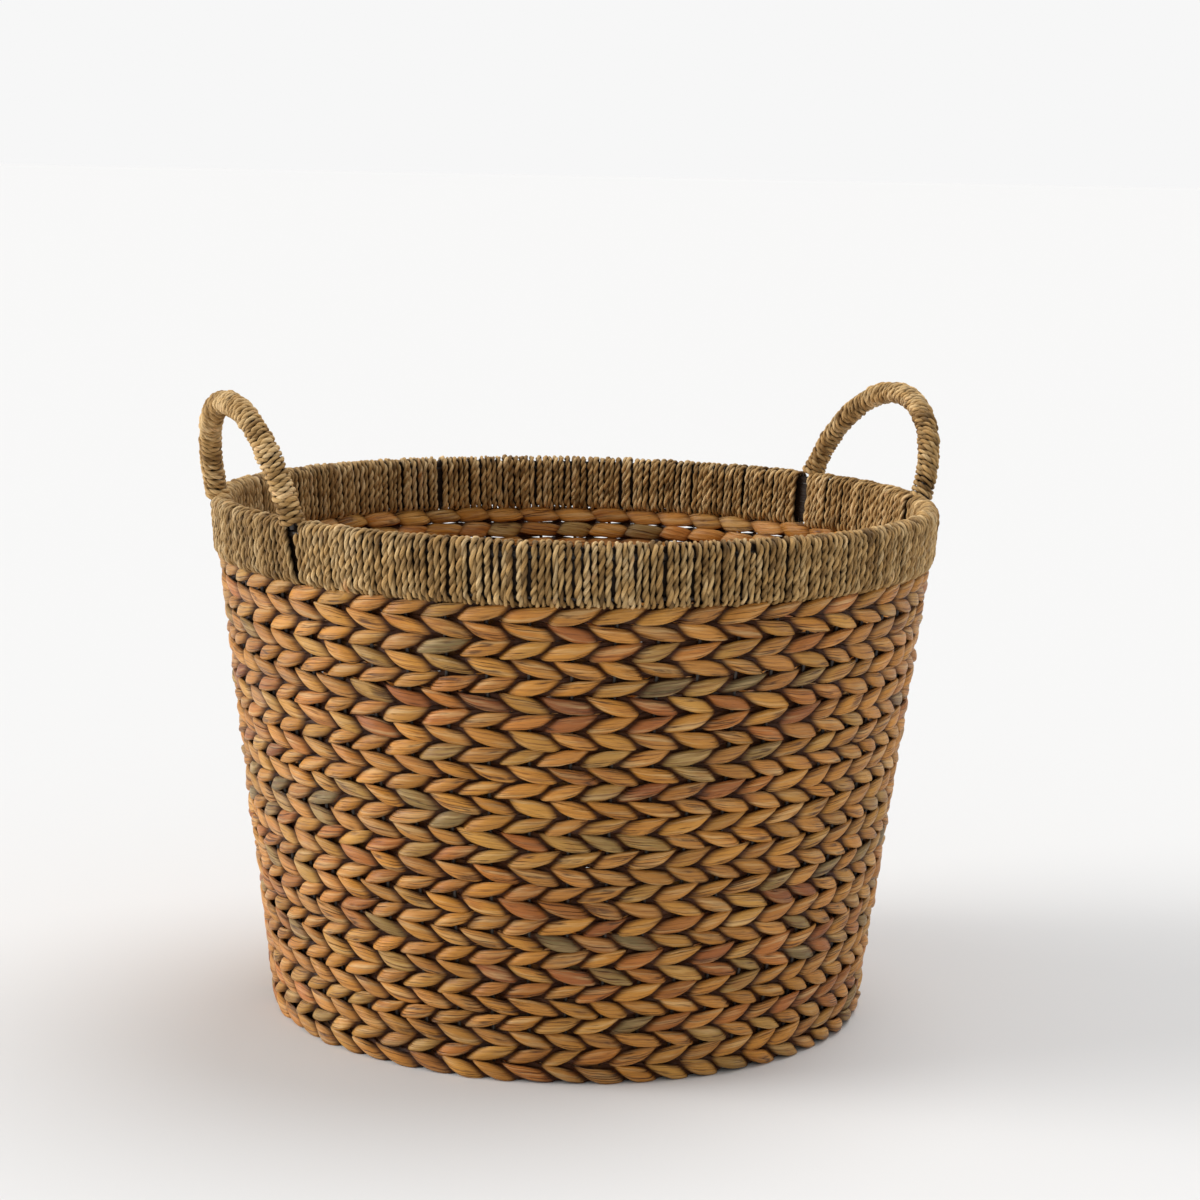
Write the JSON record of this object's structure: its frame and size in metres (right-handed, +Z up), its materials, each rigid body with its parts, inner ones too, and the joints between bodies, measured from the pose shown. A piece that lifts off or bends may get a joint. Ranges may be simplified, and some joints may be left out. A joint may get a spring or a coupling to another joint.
{
  "type": "woven basket",
  "caption": "Open round basket with gently flared twined walls, a cord-wrapped rim and two upright corded loop handles, for storing blankets or toys.",
  "frame": {"origin": "middle of the flat underside of the base", "axes": "+Z up; the handles stand at -X (left) and +X (right)"},
  "size_m": [0.5251, 0.503, 0.4303],
  "materials": {
    "woven_hyacinth": "dry plant fibre, softly satin",
    "seagrass_cord": "dry twisted seagrass, matte",
    "steel_wire": "thin satin paint"
  },
  "bodies": {
    "root": {"wall_course_01": "woven_hyacinth", "wall_course_02": "woven_hyacinth", "wall_course_03": "woven_hyacinth", "wall_course_04": "woven_hyacinth", "wall_course_05": "woven_hyacinth", "wall_course_06": "woven_hyacinth", "wall_course_07": "woven_hyacinth", "wall_course_08": "woven_hyacinth", "wall_course_09": "woven_hyacinth", "wall_course_10": "woven_hyacinth", "wall_course_11": "woven_hyacinth", "wall_course_12": "woven_hyacinth", "wall_course_13": "woven_hyacinth", "wall_course_14": "woven_hyacinth", "wall_course_15": "woven_hyacinth", "wall_course_16": "woven_hyacinth", "wall_course_17": "woven_hyacinth", "wall_course_18": "woven_hyacinth", "wall_course_19": "woven_hyacinth", "wall_course_20": "woven_hyacinth", "wall_course_21": "woven_hyacinth", "wall_course_22": "woven_hyacinth", "wall_course_23": "woven_hyacinth", "wall_course_24": "woven_hyacinth", "wall_course_25": "woven_hyacinth", "wall_course_26": "woven_hyacinth", "wall_course_27": "woven_hyacinth", "base_course_01": "woven_hyacinth", "base_course_02": "woven_hyacinth", "base_course_03": "woven_hyacinth", "base_course_04": "woven_hyacinth", "base_course_05": "woven_hyacinth", "base_course_06": "woven_hyacinth", "base_course_07": "woven_hyacinth", "base_course_08": "woven_hyacinth", "base_course_09": "woven_hyacinth", "base_course_10": "woven_hyacinth", "base_course_11": "woven_hyacinth", "base_course_12": "woven_hyacinth", "base_course_13": "woven_hyacinth", "base_course_14": "woven_hyacinth", "base_course_15": "woven_hyacinth", "base_border": "woven_hyacinth", "base_centre": "woven_hyacinth", "rim_cord_right": "seagrass_cord", "rim_cord_back": "seagrass_cord", "rim_cord_left": "seagrass_cord", "rim_cord_front": "seagrass_cord", "handle_cord_left": "seagrass_cord", "handle_rod_left": "steel_wire", "handle_cord_right": "seagrass_cord", "handle_rod_right": "steel_wire", "rim_wire": "steel_wire", "lower_rim_wire": "steel_wire", "long_stakes": "steel_wire", "short_stakes": "steel_wire"}
  },
  "joints": []
}
